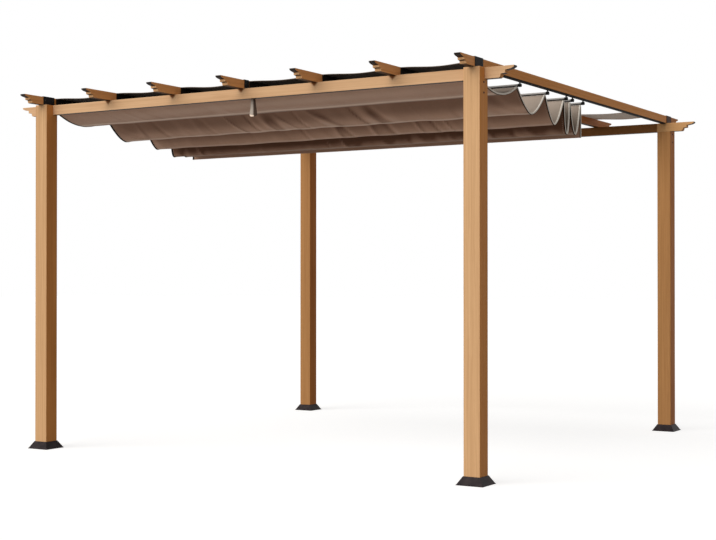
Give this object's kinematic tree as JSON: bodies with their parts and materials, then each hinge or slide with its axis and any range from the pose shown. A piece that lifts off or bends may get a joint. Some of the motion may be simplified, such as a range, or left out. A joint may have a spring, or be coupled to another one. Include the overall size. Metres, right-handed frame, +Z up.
{
  "type": "garden pergola",
  "caption": "Free-standing square garden pergola in wood-look metal, with stepped beam and rafter tails and a half-drawn cloth canopy hanging in swags from rods.",
  "frame": {"origin": "centre of the plan, on the ground under the posts", "axes": "+X along the two main beams, to the right seen from the front; +Y along the rafters, to the rear; +Z up"},
  "size_m": [3.427, 3.415, 2.2033],
  "materials": {
    "post_finish": "satin wood-look coating",
    "beam_finish": "satin wood-look coating",
    "rafter_finish": "satin wood-look coating",
    "foot_cover_finish": "satin dark bronze",
    "bracket_plastic": "matt black",
    "eave_cloth": "woven",
    "track_finish": "satin black",
    "rod_metal": "satin",
    "hanger_plastic": "matt black",
    "canopy_cloth": "woven",
    "strap_webbing": "woven"
  },
  "bodies": {
    "root": {"post_front_left": "post_finish", "post_front_right": "post_finish", "post_rear_left": "post_finish", "post_rear_right": "post_finish", "foot_cover_front_left": "foot_cover_finish", "foot_cover_front_right": "foot_cover_finish", "foot_cover_rear_left": "foot_cover_finish", "foot_cover_rear_right": "foot_cover_finish", "beam_front": "beam_finish", "beam_rear": "beam_finish", "rafter_left": "rafter_finish", "rafter_middle": "rafter_finish", "rafter_right": "rafter_finish", "tail_front_left": "rafter_finish", "tail_front_middle": "rafter_finish", "tail_front_right": "rafter_finish", "tail_rear_left": "rafter_finish", "tail_rear_middle": "rafter_finish", "tail_rear_right": "rafter_finish", "bracket_front_left": "bracket_plastic", "bracket_front_middle": "bracket_plastic", "bracket_front_right": "bracket_plastic", "bracket_rear_left": "bracket_plastic", "bracket_rear_middle": "bracket_plastic", "bracket_rear_right": "bracket_plastic", "stubs_front": "rafter_finish", "stubs_rear": "rafter_finish", "eave_shade_front": "eave_cloth", "eave_shade_rear": "eave_cloth", "track_left": "track_finish", "track_middle": "track_finish", "track_right": "track_finish", "rod_1": "rod_metal", "rod_2": "rod_metal", "rod_3": "rod_metal", "rod_4": "rod_metal", "rod_5": "rod_metal", "rod_6": "rod_metal", "hangers_left": "hanger_plastic", "hangers_middle": "hanger_plastic", "hangers_right": "hanger_plastic", "canopy": "canopy_cloth", "pull_strap": "strap_webbing"}
  },
  "joints": []
}
